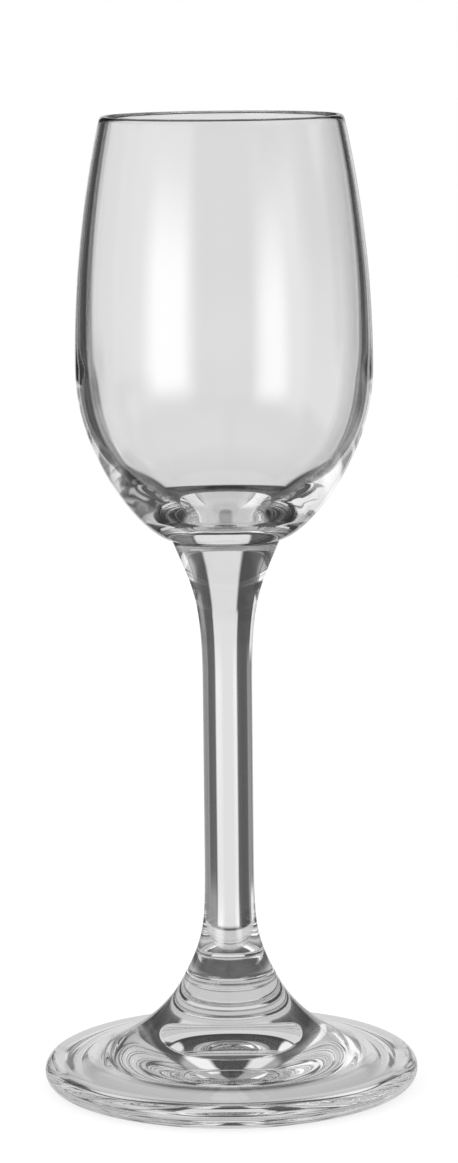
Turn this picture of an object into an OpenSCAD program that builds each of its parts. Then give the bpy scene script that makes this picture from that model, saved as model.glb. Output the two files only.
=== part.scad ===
// Stemmed liqueur glass: a small tulip bowl on a slender stem and a flared round foot.
// Three pieces of clear glass, each turned about the Z axis and fused to the next
// while hot. The glass stands on Z = 0. All lengths are in millimetres.

/* [Bowl] */
// Height of the bowl, from the stem joint to the top of the lip
bowl_h = 60.2; // [52:0.1:75]
// Outer diameter at the mouth, where the lip starts to round
rim_d = 34.8; // [28:0.1:46]
// Outer diameter at the belly, the widest place
belly_d = 42.4; // [36:0.1:50]
// Height of the belly above the stem joint
belly_h = 24.4; // [18:0.1:32]
// Slope of the underside where it leaves the stem, in degrees
base_slope = 2; // [0:1:30]
// How full the lower curve is beside the belly, as a part of its height
belly_fullness = 0.53; // [0.3:0.01:0.7]
// How full the lower curve is beside the stem, as a part of its width
base_fullness = 0.26; // [0.2:0.01:0.6]

/* [Inside of the bowl] */
// Wall thickness at the mouth
rim_wall = 1; // [0.8:0.05:2]
// Wall thickness at the widest place of the inside
belly_wall = 1.55; // [1.2:0.05:3.5]
// How far the widest place of the inside lies above the belly
inside_lift = 3.5; // [0:0.1:14]
// Thickness of the glass in the middle of the bowl's base
base_t = 3.4; // [3:0.1:9]
// Diameter of the level floor, up to where the slope of the wall would cut it
floor_d = 16; // [10:0.1:20]
// Slope of the wall where it leaves the floor, in degrees
floor_slope = 42; // [30:1:52]
// Length of the round between floor and wall, measured along each from their corner
floor_round = 2; // [1:0.1:4.5]
// How full the inside curve is beside the wall, as a part of its height
side_fullness = 0.6; // [0.4:0.01:0.7]
// How full the inside curve is above the floor, as a part of the inside's radius
floor_fullness = 0.3; // [0.1:0.01:0.45]
// Height of the round of the lip
lip_h = 0.8; // [0.4:0.05:1.5]

/* [Stem] */
// Length of the stem, from the foot joint to the bowl joint
stem_h = 63.5; // [50:0.1:90]
// Diameter of the straight middle
stem_d = 7.15; // [5.5:0.05:9.5]
// Diameter of the face that is fused to the bowl
bowl_joint_d = 15.6; // [11:0.1:18]
// Diameter at the foot joint
foot_joint_d = 12.8; // [10.5:0.1:16]
// Height of the flare below the bowl
top_flare_h = 20.7; // [12:0.1:26]
// Height of the flare above the foot
low_flare_h = 16.4; // [8:0.1:22]
// Lean of the flare where it meets the bowl, in degrees from upright
top_lean = 21.5; // [8:0.5:35]

/* [Foot] */
// Diameter of the foot
foot_d = 54.2; // [44:0.1:64]
// Height of the foot, from the table to the stem joint
foot_h = 16.3; // [12:0.1:22]
// Thickness of the rim of the foot
edge_t = 4.1; // [2:0.1:6]
// How far the round of the foot's rim stands out
edge_round = 2; // [0.5:0.1:3]
// Slope of the top beside the foot's rim, in degrees
edge_slope = 5.5; // [2:0.5:12]
// Lean of stem and foot where they meet, in degrees from upright
foot_lean = 26.5; // [15:0.5:40]
// Width of the flat ring that stands on the table
rest_w = 1.5; // [1:0.1:5]
// Rise of the hollow under the foot
hollow_h = 2.3; // [0.5:0.1:3]
// How level the hollow's ceiling is: 2 is an even dish, more is flatter
hollow_fullness = 6; // [2:0.1:8]
// Diameter of the round mark in the middle of the hollow
mark_d = 15.8; // [8:0.1:20]
// Rise of the mark above the hollow
mark_h = 2.1; // [0.2:0.1:3]

/* [Seam between stem and foot] */
// Depth of the fine groove that the fused joint leaves
seam_depth = 0.15; // [0.05:0.05:0.4]
// Height of the groove's round on each piece
seam_h = 0.4; // [0.2:0.05:0.8]

/* [Hidden] */
$fn = 128;

// Straight pieces in each long curve, and in each small round
curve_steps = 28;
round_steps = 10;

// Handle of the round in the bowl's floor, as a part of its length
corner_handle = 0.6;

// Handles of the flares, as parts of each flare's height or width
top_straight_handle = 0.62;
top_joint_handle = 0.34;
low_straight_handle = 0.52;
low_joint_handle = 0.34;
foot_joint_handle = 0.69;
foot_edge_handle = 0.43;

// Radii
rim_r = rim_d / 2;
belly_r = belly_d / 2;
inside_r = belly_r - belly_wall;
mouth_r = rim_r - rim_wall;
stem_r = stem_d / 2;
bowl_joint_r = bowl_joint_d / 2;
foot_joint_r = foot_joint_d / 2;
foot_r = foot_d / 2;
edge_r = foot_r - edge_round;
hollow_r = edge_r - rest_w;
mark_r = mark_d / 2;
floor_r = floor_d / 2;

// Heights above the table
bowl_z = foot_h + stem_h;
rim_z = bowl_z + bowl_h;
lip_z = rim_z - lip_h;
belly_z = bowl_z + belly_h;
inside_z = belly_z + inside_lift;
floor_z = bowl_z + base_t;

// Lean of the wall at the mouth, outside and inside, and the lip that follows it
outer_lean = 2 * (belly_r - rim_r) / (lip_z - belly_z);
inner_lean = 2 * (inside_r - mouth_r) / (lip_z - inside_z);
lip_lean = (outer_lean + inner_lean) / 2;

// Radii either side of the seam, and of the disc where stem and foot touch
seam_run = seam_h * tan(foot_lean);
above_seam_r = foot_joint_r - seam_run;
below_seam_r = foot_joint_r + seam_run;
seam_r = above_seam_r - seam_depth;

// Where the foot's round rim takes over from its sloping top, as an angle on the round
edge_start = atan2(edge_t / 2, edge_round * tan(edge_slope));

clear_glass = [0.86, 0.88, 0.88, 0.5];

// Unit step at an angle from upright, leaning outwards
function leaning(angle) = [sin(angle), cos(angle)];

// Cubic curve from a to d, pulled towards b and c
function curve(a, b, c, d) = [
    for (i = [0 : curve_steps])
        let (t = i / curve_steps, s = 1 - t)
        s * s * s * a + 3 * s * s * t * b + 3 * s * t * t * c + t * t * t * d
];

// Wall that leaves the upright at [r, z] and leans evenly more up to [end_r, end_z]
function wall(r, z, end_r, end_z) = [
    for (i = [0 : curve_steps])
        let (t = i / curve_steps)
        [r + (end_r - r) * t * t, z + (end_z - z) * t]
];

// Quarter round that leaves the upright at one point and ends level at another
function shoulder(from, to) = [
    for (i = [0 : round_steps])
        let (a = 90 * i / round_steps)
        [to[0] + (from[0] - to[0]) * cos(a), from[1] + (to[1] - from[1]) * sin(a)]
];

function backwards(points) = [for (i = [len(points) - 1 : -1 : 0]) points[i]];

// A profile's curves end to end, without the points where one starts as the last ended
function chain(curves) = [
    for (i = [0 : len(curves) - 1], j = [i == 0 ? 0 : 1 : len(curves[i]) - 1]) curves[i][j]
];

// Bowl: outside from the stem joint to the mouth
function bowl_outside() = chain([
    curve(
        [bowl_joint_r, bowl_z],
        [bowl_joint_r, bowl_z] + base_fullness * (belly_r - bowl_joint_r) * leaning(90 - base_slope),
        [belly_r, belly_z - belly_fullness * belly_h],
        [belly_r, belly_z]
    ),
    wall(belly_r, belly_z, rim_r, lip_z)
]);

// Bowl: half round of the lip, leaning in with the wall
function bowl_lip() = [
    for (i = [0 : 2 * round_steps])
        let (a = 90 * i / round_steps, rise = lip_h * sin(a))
        [mouth_r + rim_wall / 2 * (1 + cos(a)) - lip_lean * rise, lip_z + rise]
];

// Bowl: inside from the middle of the level floor to the mouth
function bowl_inside() = let (
    corner = [floor_r, floor_z],
    slope = leaning(90 - floor_slope),
    floor_end = corner - [floor_round, 0],
    wall_start = corner + floor_round * slope
) chain([
    [[0, floor_z], floor_end],
    curve(
        floor_end,
        floor_end + corner_handle * (corner - floor_end),
        wall_start + corner_handle * (corner - wall_start),
        wall_start
    ),
    curve(
        wall_start,
        wall_start + floor_fullness * inside_r * slope,
        [inside_r, inside_z - side_fullness * (inside_z - floor_z)],
        [inside_r, inside_z]
    ),
    wall(inside_r, inside_z, mouth_r, lip_z)
]);

// Stem: flare from the straight middle up to the bowl
function stem_top() = let (
    joint = [bowl_joint_r, bowl_z],
    start = [stem_r, bowl_z - top_flare_h]
) curve(
    start,
    start + [0, top_straight_handle * top_flare_h],
    joint - top_joint_handle * top_flare_h * leaning(top_lean),
    joint
);

// Stem: flare from the straight middle down to the seam
function stem_low() = let (
    joint = [above_seam_r, foot_h + seam_h],
    start = [stem_r, foot_h + low_flare_h]
) curve(
    start,
    start - [0, low_straight_handle * low_flare_h],
    joint + low_joint_handle * low_flare_h * leaning(-foot_lean),
    joint
);

// Foot: round of the rim, from its top round to the table
function foot_edge() = [
    for (i = [0 : 2 * round_steps])
        let (a = edge_start - (edge_start + 90) * i / (2 * round_steps))
        [edge_r + edge_round * cos(a), edge_t / 2 * (1 + sin(a))]
];

// Foot: top, sweeping out from the seam to the rim
function foot_top() = let (
    joint = [below_seam_r, foot_h - seam_h],
    edge = foot_edge()[0]
) curve(
    joint,
    joint - foot_joint_handle * (joint[1] - edge[1]) * leaning(-foot_lean),
    edge - foot_edge_handle * (edge[0] - joint[0]) * leaning(90 + edge_slope),
    edge
);

// Foot: hollow underneath, from the flat ring to the round mark in its middle
function hollow_z(r) = hollow_h * (1 - pow(r / hollow_r, hollow_fullness));

function foot_hollow() = [
    for (i = [0 : curve_steps])
        let (r = hollow_r + (mark_r - hollow_r) * i / curve_steps)
        [r, hollow_z(r)]
];

// Foot: the round mark, a shallow dish in the hollow's ceiling
function foot_mark() = [
    for (i = [0 : curve_steps])
        let (t = 1 - i / curve_steps, r = mark_r * t)
        [r, hollow_z(r) + mark_h * (1 - t * t)]
];

module turned(profile) {
    color(clear_glass) rotate_extrude() polygon(profile);
}

module bowl() {
    turned(chain([
        [[0, bowl_z], [bowl_joint_r, bowl_z]],
        bowl_outside(),
        bowl_lip(),
        backwards(bowl_inside())
    ]));
}

module stem() {
    turned(chain([
        [[0, foot_h], [seam_r, foot_h]],
        backwards(shoulder([above_seam_r, foot_h + seam_h], [seam_r, foot_h])),
        backwards(stem_low()),
        [[stem_r, foot_h + low_flare_h], [stem_r, bowl_z - top_flare_h]],
        stem_top(),
        [[bowl_joint_r, bowl_z], [0, bowl_z]]
    ]));
}

module foot() {
    turned(chain([
        [[0, foot_h], [seam_r, foot_h]],
        backwards(shoulder([below_seam_r, foot_h - seam_h], [seam_r, foot_h])),
        foot_top(),
        foot_edge(),
        [[edge_r, 0], [hollow_r, 0]],
        foot_hollow(),
        foot_mark()
    ]));
}

bowl();
stem();
foot();
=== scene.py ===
import math

import bpy
from mathutils import Matrix, Vector


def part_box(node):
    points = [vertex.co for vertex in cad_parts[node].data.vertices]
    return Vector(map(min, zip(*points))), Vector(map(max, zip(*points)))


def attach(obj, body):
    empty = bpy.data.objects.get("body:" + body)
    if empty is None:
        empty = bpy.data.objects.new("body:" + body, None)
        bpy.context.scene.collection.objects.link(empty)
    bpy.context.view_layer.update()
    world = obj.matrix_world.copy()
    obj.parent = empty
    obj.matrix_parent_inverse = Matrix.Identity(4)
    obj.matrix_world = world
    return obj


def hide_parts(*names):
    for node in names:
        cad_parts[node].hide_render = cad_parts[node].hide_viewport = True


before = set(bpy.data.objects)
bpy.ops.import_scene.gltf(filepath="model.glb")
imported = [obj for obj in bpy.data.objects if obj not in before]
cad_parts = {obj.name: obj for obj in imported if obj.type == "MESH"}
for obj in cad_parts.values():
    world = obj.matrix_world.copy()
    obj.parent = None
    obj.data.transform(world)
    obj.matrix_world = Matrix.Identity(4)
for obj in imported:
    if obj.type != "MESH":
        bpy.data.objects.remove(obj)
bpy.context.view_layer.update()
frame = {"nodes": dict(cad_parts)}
print("frame loaded:", ", ".join(frame["nodes"]))

# places taken from the CAD pieces, in metres
bowlLow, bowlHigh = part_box("bowl")
stemLow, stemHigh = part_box("stem")
footLow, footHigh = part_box("foot")
footJointZ = footHigh.z
bowlJointZ = bowlLow.z
bowlJointRadius = stemHigh.x

curveSteps = 40  # straight pieces in a long curve
roundSteps = 12  # and in a quarter of a small round
turnSteps = 224  # steps once round the glass
samePoint = 1e-7  # outline points nearer than this are one
nearEnough = 1e-6  # for merging points and for finding the faces at a joint
creaseAngle = 35  # degrees; sharper edges stay sharp


# outlines, as lists of (radius, height)
def leaning(degrees):
    return Vector((math.sin(math.radians(degrees)), math.cos(math.radians(degrees))))


def pulledCurve(start, startPull, endPull, end):
    points = []
    for i in range(curveSteps + 1):
        t = i / curveSteps
        s = 1 - t
        points.append(s**3 * start + 3 * s * s * t * startPull + 3 * s * t * t * endPull + t**3 * end)
    return points


def leaningWall(start, end):
    points = []
    for i in range(curveSteps + 1):
        t = i / curveSteps
        points.append(Vector((start.x + (end.x - start.x) * t * t, start.y + (end.y - start.y) * t)))
    return points


def shoulder(start, end):
    points = []
    for i in range(roundSteps + 1):
        a = math.pi / 2 * i / roundSteps
        points.append(Vector((
            end.x + (start.x - end.x) * math.cos(a),
            start.y + (end.y - start.y) * math.sin(a),
        )))
    return points


def joinCurves(*curves):
    outline = []
    for points in curves:
        for point in points:
            if not outline or (point - outline[-1]).length > samePoint:  # skips a repeated end
                outline.append(point)
    return outline


# one vertex is extruded along the outline and spun about the axis of the glass
def turnPiece(name, outline):
    bpy.ops.object.select_all(action="DESELECT")
    bpy.ops.mesh.primitive_plane_add(size=0.01, location=(0, 0, 0))
    piece = bpy.context.object
    piece.name = name
    piece.data.name = name
    bpy.ops.object.mode_set(mode="EDIT")
    bpy.ops.mesh.select_all(action="SELECT")
    bpy.ops.mesh.merge(type="CENTER")
    bpy.ops.transform.translate(value=(outline[0].x, 0, outline[0].y))
    for before, after in zip(outline, outline[1:]):
        step = after - before
        bpy.ops.mesh.extrude_region_move(TRANSFORM_OT_translate={"value": (step.x, 0, step.y)})
    bpy.ops.mesh.select_all(action="SELECT")
    bpy.ops.mesh.spin(steps=turnSteps, angle=2 * math.pi, center=(0, 0, 0), axis=(0, 0, 1))
    bpy.ops.mesh.select_all(action="SELECT")
    bpy.ops.mesh.remove_doubles(threshold=nearEnough)
    bpy.ops.mesh.normals_make_consistent(inside=False)
    bpy.ops.object.mode_set(mode="OBJECT")
    bpy.ops.object.shade_smooth_by_angle(angle=math.radians(creaseAngle))
    print("turned", name, len(piece.data.polygons), "faces")
    return piece


# the bowl: outside, lip and inside
bowlShape = {
    "rimRadius": 0.0174,
    "rimWall": 0.001,
    "lipHeight": 0.0008,
    "bellyHeight": 0.0244,  # above the stem joint
    "bellyWall": 0.00155,
    "insideLift": 0.0035,  # widest place inside, above the belly
    "baseThickness": 0.0034,
    "baseSlope": 2,
    "bellyFullness": 0.53,
    "baseFullness": 0.26,
    "floorRadius": 0.008,
    "floorSlope": 42,
    "floorRound": 0.002,
    "cornerPull": 0.6,
    "sideFullness": 0.6,
    "floorFullness": 0.3,
}


def bowlOutline(s):
    bellyRadius = bowlHigh.x
    bellyZ = bowlJointZ + s["bellyHeight"]
    lipZ = bowlHigh.z - s["lipHeight"]
    mouthRadius = s["rimRadius"] - s["rimWall"]
    insideRadius = bellyRadius - s["bellyWall"]
    insideZ = bellyZ + s["insideLift"]
    floorZ = bowlJointZ + s["baseThickness"]
    joint = Vector((bowlJointRadius, bowlJointZ))
    belly = Vector((bellyRadius, bellyZ))
    baseRun = s["baseFullness"] * (bellyRadius - joint.x)
    lower = pulledCurve(
        joint,
        joint + baseRun * leaning(90 - s["baseSlope"]),
        belly - Vector((0, s["bellyFullness"] * s["bellyHeight"])),
        belly,
    )
    upper = leaningWall(belly, Vector((s["rimRadius"], lipZ)))
    outerLean = 2 * (bellyRadius - s["rimRadius"]) / (lipZ - bellyZ)
    innerLean = 2 * (insideRadius - mouthRadius) / (lipZ - insideZ)
    lean = (outerLean + innerLean) / 2
    lip = []
    for i in range(2 * roundSteps + 1):
        a = math.pi * i / (2 * roundSteps)
        rise = s["lipHeight"] * math.sin(a)
        lip.append(Vector((mouthRadius + s["rimWall"] / 2 * (1 + math.cos(a)) - lean * rise, lipZ + rise)))
    widest = Vector((insideRadius, insideZ))
    inner = leaningWall(widest, Vector((mouthRadius, lipZ)))[::-1]
    corner = Vector((s["floorRadius"], floorZ))
    slope = leaning(90 - s["floorSlope"])
    wallStart = corner + s["floorRound"] * slope
    floorEnd = corner - Vector((s["floorRound"], 0))
    well = pulledCurve(
        widest,
        widest - Vector((0, s["sideFullness"] * (insideZ - floorZ))),
        wallStart + s["floorFullness"] * insideRadius * slope,
        wallStart,
    )
    turn = pulledCurve(
        wallStart,
        wallStart.lerp(corner, s["cornerPull"]),
        floorEnd.lerp(corner, s["cornerPull"]),
        floorEnd,
    )
    middle = Vector((0, floorZ))
    level = [floorEnd.lerp(middle, i / curveSteps) for i in range(curveSteps + 1)]
    base = [Vector((0, bowlJointZ)), joint]
    return joinCurves(base, lower, upper, lip, inner, well, turn, level)


# the seam that the fused joint leaves between stem and foot
seamShape = {
    "radius": 0.0064,
    "lean": 26.5,
    "height": 0.0004,
    "depth": 0.00015,
}
seamRun = seamShape["height"] * math.tan(math.radians(seamShape["lean"]))
aboveSeam = Vector((seamShape["radius"] - seamRun, footJointZ + seamShape["height"]))
belowSeam = Vector((seamShape["radius"] + seamRun, footJointZ - seamShape["height"]))
seamPoint = Vector((aboveSeam.x - seamShape["depth"], footJointZ))


# the stem: straight in the middle, flared at both ends
stemShape = {
    "radius": 0.003575,
    "topFlare": 0.0207,
    "topLean": 21.5,
    "lowFlare": 0.0164,
    "topPulls": (0.62, 0.34),
    "lowPulls": (0.52, 0.34),
}


def stemOutline(s):
    top = Vector((bowlJointRadius, bowlJointZ))
    topStart = Vector((s["radius"], bowlJointZ - s["topFlare"]))
    lowStart = Vector((s["radius"], footJointZ + s["lowFlare"]))
    topFlare = pulledCurve(
        topStart,
        topStart + Vector((0, s["topPulls"][0] * s["topFlare"])),
        top - s["topPulls"][1] * s["topFlare"] * leaning(s["topLean"]),
        top,
    )
    lowFlare = pulledCurve(
        lowStart,
        lowStart - Vector((0, s["lowPulls"][0] * s["lowFlare"])),
        aboveSeam + s["lowPulls"][1] * s["lowFlare"] * leaning(-seamShape["lean"]),
        aboveSeam,
    )[::-1]
    middle = [lowStart.lerp(topStart, i / curveSteps) for i in range(curveSteps + 1)]
    seam = shoulder(aboveSeam, seamPoint)[::-1]
    return joinCurves(
        [Vector((0, footJointZ)), seamPoint], seam, lowFlare, middle, topFlare, [Vector((0, bowlJointZ))]
    )


# the foot: sweeping top, round rim, rest ring, and a hollow with a round mark in its middle
footShape = {
    "edgeThickness": 0.0041,
    "edgeRound": 0.002,
    "edgeSlope": 5.5,
    "restWidth": 0.0015,
    "hollowRise": 0.0023,
    "hollowFullness": 6,
    "markRadius": 0.0079,
    "markRise": 0.0021,
    "topPulls": (0.69, 0.43),
}


def footOutline(s):
    edgeRadius = footHigh.x - s["edgeRound"]
    hollowRadius = edgeRadius - s["restWidth"]
    half = s["edgeThickness"] / 2
    startAngle = math.atan2(half, s["edgeRound"] * math.tan(math.radians(s["edgeSlope"])))
    edge = []
    for i in range(2 * roundSteps + 1):
        a = startAngle - (startAngle + math.pi / 2) * i / (2 * roundSteps)
        edge.append(Vector((edgeRadius + s["edgeRound"] * math.cos(a), half * (1 + math.sin(a)))))
    rim = edge[0]
    top = pulledCurve(
        belowSeam,
        belowSeam - s["topPulls"][0] * (belowSeam.y - rim.y) * leaning(-seamShape["lean"]),
        rim - s["topPulls"][1] * (rim.x - belowSeam.x) * leaning(90 + s["edgeSlope"]),
        rim,
    )

    def ceiling(r):
        return s["hollowRise"] * (1 - (r / hollowRadius) ** s["hollowFullness"])

    hollow = []
    for i in range(2 * curveSteps + 1):
        r = hollowRadius + (s["markRadius"] - hollowRadius) * i / (2 * curveSteps)
        hollow.append(Vector((r, ceiling(r))))
    mark = []
    for i in range(curveSteps + 1):
        t = 1 - i / curveSteps
        r = s["markRadius"] * t
        mark.append(Vector((r, ceiling(r) + s["markRise"] * (1 - t * t))))
    seam = shoulder(belowSeam, seamPoint)[::-1]
    return joinCurves([Vector((0, footJointZ)), seamPoint], seam, top, edge, hollow, mark)


# clear glass with the faint waves that hot working leaves
glassLook = {
    "ior": 1.52,
    "tint": (0.99, 0.99, 0.99, 1),
    "waveScale": 60,
    "waveHeight": 0.00002,
}


def makeClearGlass(s):
    material = bpy.data.materials.new("clearGlass")
    material.use_nodes = True
    nodes, links = material.node_tree.nodes, material.node_tree.links
    shader = nodes["Principled BSDF"]
    shader.inputs["Base Color"].default_value = s["tint"]
    shader.inputs["Roughness"].default_value = 0
    shader.inputs["IOR"].default_value = s["ior"]
    shader.inputs["Transmission Weight"].default_value = 1
    place = nodes.new("ShaderNodeTexCoord")
    wave = nodes.new("ShaderNodeTexNoise")
    wave.inputs["Scale"].default_value = s["waveScale"]
    wave.inputs["Detail"].default_value = 1
    bump = nodes.new("ShaderNodeBump")
    bump.inputs["Strength"].default_value = 1
    bump.inputs["Distance"].default_value = s["waveHeight"]
    links.new(place.outputs["Object"], wave.inputs["Vector"])
    links.new(wave.outputs["Fac"], bump.inputs["Height"])
    links.new(bump.outputs["Normal"], shader.inputs["Normal"])
    return material


# the fused faces inside the glass pass light straight on
def makeFusedFace():
    material = bpy.data.materials.new("fusedFace")
    material.use_nodes = True
    material.node_tree.nodes["Principled BSDF"].inputs["Alpha"].default_value = 0
    return material


clearGlass = makeClearGlass(glassLook)
fusedFace = makeFusedFace()


def dressPiece(piece, node, jointHeights):
    piece.data.materials.append(clearGlass)
    piece.data.materials.append(fusedFace)
    for face in piece.data.polygons:
        atJoint = any(abs(face.center.z - z) < nearEnough for z in jointHeights)
        if atJoint and abs(face.normal.z) > 0.99:  # level faces at a joint
            face.material_index = 1
    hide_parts(node)
    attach(piece, "root")


dressPiece(turnPiece("bowlGlass", bowlOutline(bowlShape)), "bowl", [bowlJointZ])
dressPiece(turnPiece("stemGlass", stemOutline(stemShape)), "stem", [bowlJointZ, footJointZ])
dressPiece(turnPiece("footGlass", footOutline(footShape)), "foot", [footJointZ])


# the studio that the glass shows, painted panel on panel
# angles are in degrees, and azimuth is counted to the right from straight behind the glass
roomLook = {
    "seen": 1,  # white behind the glass
    "onFloor": 0.8,  # even light on the floor
    "plain": 0.06,
    "panels": {
        "table below": {"azimuth": 0, "half": 60, "low": -100, "high": -54, "soft": 3, "level": 0.45},
        "table behind": {"azimuth": 0, "half": 40, "low": -52, "high": -27, "soft": 3, "level": 0.025},
        "front wall": {"azimuth": 180, "half": 75, "low": -52, "high": 4, "soft": 4, "level": 0.55},
        "right wall": {"azimuth": 92, "half": 26, "low": -52, "high": 2, "soft": 4, "level": 0.55},
        "left wall": {"azimuth": -94, "half": 26, "low": -52, "high": 16, "soft": 4, "level": 0.75},
        "left flank": {"azimuth": -52, "half": 10, "low": -46, "high": -6, "soft": 3, "level": 0.25},
        "ceiling": {"azimuth": 0, "half": 60, "low": 62, "high": 100, "soft": 6, "level": 0.25},
        "upper left": {"azimuth": -31, "half": 19, "low": 28, "high": 66, "soft": 3, "level": 0.38},
        "upper right": {"azimuth": 32, "half": 19, "low": 27, "high": 66, "soft": 3, "level": 0.44},
        "left lamp": {"azimuth": -17, "half": 7, "low": 28, "high": 45, "soft": 2, "level": 0.8},
        "right lamp": {"azimuth": 18, "half": 7, "low": 26, "high": 48, "soft": 2, "level": 0.95},
        "back panel": {"azimuth": 2.7, "half": 18.2, "low": -26, "high": 2, "soft": 1.5, "level": 0.77},
        "back top": {"azimuth": 3.5, "half": 16.8, "low": 0, "high": 22, "soft": 2, "level": 0.74},
        "right low": {"azimuth": 33, "half": 10, "low": -30, "high": -14, "soft": 2, "level": 0.25},
        "left panel": {"azimuth": -81, "half": 30, "low": -6.5, "high": 16, "soft": 2, "level": 0.95},
        "left low": {"azimuth": -67, "half": 17, "low": -34, "high": -15, "soft": 2, "level": 0.95},
        "right strip": {"azimuth": 53, "half": 12, "low": -40, "high": 16, "soft": 3, "level": 0.24},
        "right side": {"azimuth": 82, "half": 8, "low": 9, "high": 20, "soft": 3, "level": 0.5},
        "front middle": {"azimuth": 180, "half": 34, "low": 5, "high": 22, "soft": 3, "level": 0.35},
        "front left": {"azimuth": -126, "half": 27, "low": -22, "high": 24, "soft": 6, "level": 1.15},
        "front right": {"azimuth": 131, "half": 16, "low": -18, "high": 14, "soft": 5, "level": 0.9},
        "upper front left": {"azimuth": -130, "half": 36, "low": 30, "high": 60, "soft": 6, "level": 0.3},
        "upper front right": {"azimuth": 140, "half": 40, "low": 28, "high": 60, "soft": 6, "level": 0.4},
    },
}


def addNode(tree, kind, **values):
    node = tree.nodes.new(kind)
    for name, value in values.items():
        setattr(node, name, value)
    return node


def addMath(tree, operation, *values):
    node = addNode(tree, "ShaderNodeMath", operation=operation)
    for socket, value in zip(node.inputs, values):
        if isinstance(value, (int, float)):
            socket.default_value = value
        else:
            tree.links.new(value, socket)
    return node.outputs[0]


def addRange(tree, value, fromLow, fromHigh):
    node = addNode(tree, "ShaderNodeMapRange", interpolation_type="SMOOTHSTEP")
    tree.links.new(value, node.inputs["Value"])
    node.inputs["From Min"].default_value = fromLow
    node.inputs["From Max"].default_value = fromHigh
    return node.outputs["Result"]


def addPanel(tree, azimuth, elevation, s):
    away = addMath(tree, "WRAP", addMath(tree, "SUBTRACT", azimuth, s["azimuth"]), 180, -180)
    away = addMath(tree, "ABSOLUTE", away)
    across = addRange(tree, away, s["half"] + s["soft"], s["half"] - s["soft"])
    above = addRange(tree, elevation, s["low"] - s["soft"], s["low"] + s["soft"])
    below = addRange(tree, elevation, s["high"] + s["soft"], s["high"] - s["soft"])
    return addMath(tree, "MULTIPLY", across, addMath(tree, "MULTIPLY", above, below))


def addMix(tree, share, first, second):
    node = addNode(tree, "ShaderNodeMix", data_type="RGBA")
    tree.links.new(share, node.inputs["Factor"])
    for name, value in (("A", first), ("B", second)):
        socket = next(x for x in node.inputs if x.name == name and x.type == "RGBA")
        if isinstance(value, (int, float)):
            socket.default_value = (value, value, value, 1)
        else:
            tree.links.new(value, socket)
    return next(x for x in node.outputs if x.type == "RGBA")


def makeRoom(s):
    world = bpy.data.worlds.new("studioRoom")
    bpy.context.scene.world = world
    world.use_nodes = True
    tree = world.node_tree
    tree.nodes.clear()
    place = addNode(tree, "ShaderNodeTexCoord")
    parts = addNode(tree, "ShaderNodeSeparateXYZ")
    tree.links.new(place.outputs["Generated"], parts.inputs[0])
    x, y, z = parts.outputs
    azimuth = addMath(tree, "DEGREES", addMath(tree, "ARCTAN2", x, y))
    elevation = addMath(tree, "DEGREES", addMath(tree, "ARCSINE", z))
    around = s["plain"]
    for panel in s["panels"].values():
        around = addMix(tree, addPanel(tree, azimuth, elevation, panel), around, panel["level"])
    kind = addNode(tree, "ShaderNodeLightPath")
    seen = addNode(tree, "ShaderNodeBackground")
    seen.inputs["Color"].default_value = (s["seen"], s["seen"], s["seen"], 1)
    room = addNode(tree, "ShaderNodeBackground")
    tree.links.new(around, room.inputs["Color"])
    soft = addNode(tree, "ShaderNodeBackground")
    soft.inputs["Color"].default_value = (s["onFloor"], s["onFloor"], s["onFloor"], 1)
    byDiffuse = addNode(tree, "ShaderNodeMixShader")
    tree.links.new(kind.outputs["Is Diffuse Ray"], byDiffuse.inputs[0])
    tree.links.new(room.outputs[0], byDiffuse.inputs[1])
    tree.links.new(soft.outputs[0], byDiffuse.inputs[2])
    byCamera = addNode(tree, "ShaderNodeMixShader")
    tree.links.new(kind.outputs["Is Camera Ray"], byCamera.inputs[0])
    tree.links.new(byDiffuse.outputs[0], byCamera.inputs[1])
    tree.links.new(seen.outputs[0], byCamera.inputs[2])
    out = addNode(tree, "ShaderNodeOutputWorld")
    tree.links.new(byCamera.outputs[0], out.inputs["Surface"])
    print("room made")


makeRoom(roomLook)


# two soft boxes in front of the glass, left and right of the camera
boxAim = Vector((0, 0, 0.1))
boxFade = (0.5, 0.1)  # share of the cloth from its middle: dark, and full
softBoxes = {
    "left": {"azimuth": -43, "distance": 0.9, "height": 0.11, "width": 0.95, "tall": 0.7, "level": 4.6},
    "right": {"azimuth": 37, "distance": 0.9, "height": 0.06, "width": 0.6, "tall": 0.64, "level": 4.0},
}


def makeSoftBox(name, s):
    turn = math.radians(s["azimuth"])
    spot = Vector((math.sin(turn), -math.cos(turn), 0)) * s["distance"] + Vector((0, 0, s["height"]))
    light = bpy.data.lights.new(name + "SoftBox", "AREA")
    light.shape = "RECTANGLE"
    light.size = s["width"]
    light.size_y = s["tall"]
    light.energy = s["level"] * math.pi * s["width"] * s["tall"]
    light.use_nodes = True
    tree = light.node_tree
    spread = addNode(tree, "ShaderNodeNewGeometry")  # brightest in the middle of the cloth
    parts = addNode(tree, "ShaderNodeSeparateXYZ")
    tree.links.new(spread.outputs["Parametric"], parts.inputs[0])
    fade = 1
    for part in (parts.outputs["X"], parts.outputs["Y"]):
        off = addMath(tree, "ABSOLUTE", addMath(tree, "SUBTRACT", part, 0.5))
        fade = addMath(tree, "MULTIPLY", fade, addRange(tree, off, *boxFade))
    tree.links.new(fade, tree.nodes["Emission"].inputs["Strength"])
    lamp = bpy.data.objects.new(name + "SoftBox", light)
    bpy.context.collection.objects.link(lamp)
    lamp.location = spot
    aim = boxAim - spot
    lamp.rotation_euler = aim.to_track_quat("-Z", "Y").to_euler()
    lamp.visible_camera = False
    lamp.visible_transmission = False


for boxName, boxLook in softBoxes.items():
    makeSoftBox(boxName, boxLook)
print("soft boxes made")


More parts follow.
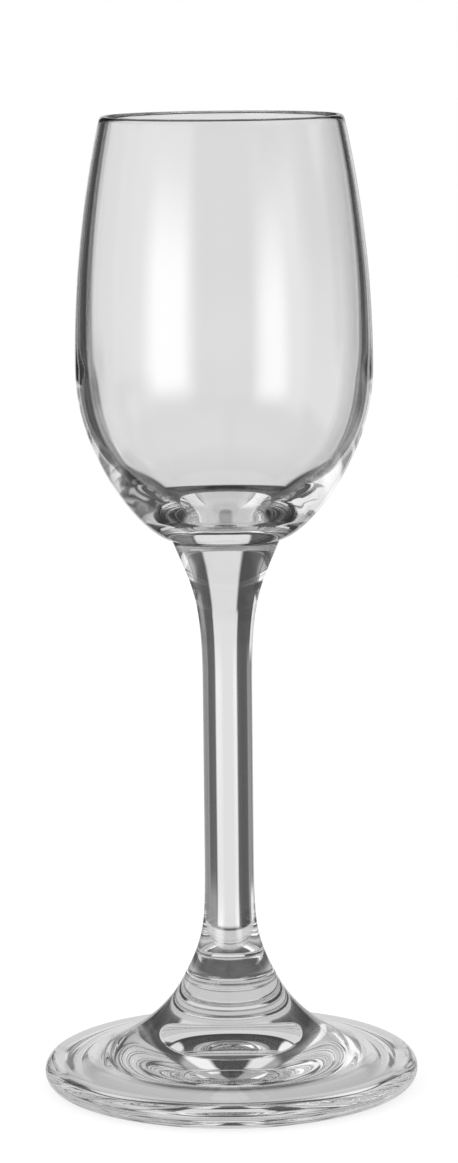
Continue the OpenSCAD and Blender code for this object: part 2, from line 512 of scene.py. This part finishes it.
# pale floor that shows white and keeps a faint shadow of the glass; under the foot it has painted light
# and painted shade that only the glass shows
floorLook = {
    "radius": 1.5,
    "drop": 0.0002,  # just under the rest ring
    "glow": 0.8,
    "paint": 0.3,
    "shade": 0.0135,  # radius of the shaded floor under the stem, seen through the foot
    "shadeSoft": 0.0035,
    "shadeLevel": 0.12,
    "spot": 0.045,  # radius of the painted light on the floor that the foot shows
    "paintedLightSoft": 0.002,
    "paintedLightLevel": 0.6,
}


def makeFloor(s):
    bpy.ops.object.select_all(action="DESELECT")
    bpy.ops.mesh.primitive_circle_add(
        vertices=96, radius=s["radius"], fill_type="NGON", location=(0, 0, -s["drop"])
    )
    floor = bpy.context.object
    floor.name = "paleFloor"
    material = bpy.data.materials.new("paleFloor")
    material.use_nodes = True
    tree = material.node_tree
    tree.nodes.clear()
    kind = addNode(tree, "ShaderNodeLightPath")
    glow = addNode(tree, "ShaderNodeEmission")
    glow.inputs["Strength"].default_value = s["glow"]
    paint = addNode(tree, "ShaderNodeBsdfDiffuse")
    paint.inputs["Color"].default_value = (s["paint"], s["paint"], s["paint"], 1)
    both = addNode(tree, "ShaderNodeAddShader")
    clear = addNode(tree, "ShaderNodeBsdfTransparent")
    # painted light and painted shade on the floor: rays other than the camera's see a glowing disc under
    # the foot, darker under the stem, instead of looking through the floor
    spot = addNode(tree, "ShaderNodeEmission")
    place = addNode(tree, "ShaderNodeTexCoord")
    away = addNode(tree, "ShaderNodeVectorMath", operation="LENGTH")
    tree.links.new(place.outputs["Object"], away.inputs[0])
    lit = addRange(tree, away.outputs["Value"], s["shade"] - s["shadeSoft"], s["shade"] + s["shadeSoft"])
    strength = addMath(tree, "MULTIPLY_ADD", lit, s["paintedLightLevel"] - s["shadeLevel"], s["shadeLevel"])
    tree.links.new(strength, spot.inputs["Strength"])
    # the painted light ends at this radius; further out those rays pass through the floor
    under = addRange(tree, away.outputs["Value"], s["spot"] + s["paintedLightSoft"], s["spot"] - s["paintedLightSoft"])
    through = addNode(tree, "ShaderNodeMixShader")
    tree.links.new(under, through.inputs[0])
    tree.links.new(clear.outputs[0], through.inputs[1])
    tree.links.new(spot.outputs[0], through.inputs[2])
    mix = addNode(tree, "ShaderNodeMixShader")
    out = addNode(tree, "ShaderNodeOutputMaterial")
    tree.links.new(glow.outputs[0], both.inputs[0])
    tree.links.new(paint.outputs[0], both.inputs[1])
    tree.links.new(kind.outputs["Is Camera Ray"], mix.inputs[0])
    tree.links.new(through.outputs[0], mix.inputs[1])
    tree.links.new(both.outputs[0], mix.inputs[2])
    tree.links.new(mix.outputs[0], out.inputs["Surface"])
    floor.data.materials.append(material)
    print("floor made")


makeFloor(floorLook)


# the camera stands where the photograph was taken from
cameraPlace = {
    "distance": 0.575,
    "height": 0.161,
    "lens": 125.67,  # mm
    "sensor": 36,  # mm
    "pitch": 8.65,  # degrees below level
    "yaw": 0.037,  # degrees to the right
    "roll": 0.6,  # degrees
}


def makeCamera(s):
    data = bpy.data.cameras.new("photoCamera")
    data.lens = s["lens"]
    data.sensor_width = s["sensor"]
    camera = bpy.data.objects.new("photoCamera", data)
    bpy.context.collection.objects.link(camera)
    turned = (
        Matrix.Rotation(math.radians(-s["yaw"]), 4, "Z")
        @ Matrix.Rotation(math.radians(90 - s["pitch"]), 4, "X")
        @ Matrix.Rotation(math.radians(-s["roll"]), 4, "Z")
    )
    camera.matrix_world = Matrix.Translation((0, -s["distance"], s["height"])) @ turned
    bpy.context.scene.camera = camera


makeCamera(cameraPlace)

scene = bpy.context.scene
scene.view_settings.view_transform = "Standard"
glassBounces = 48  # light turns many times inside the glass
scene.cycles.max_bounces = glassBounces
scene.cycles.transmission_bounces = glassBounces
scene.cycles.glossy_bounces = glassBounces
scene.cycles.transparent_max_bounces = 32
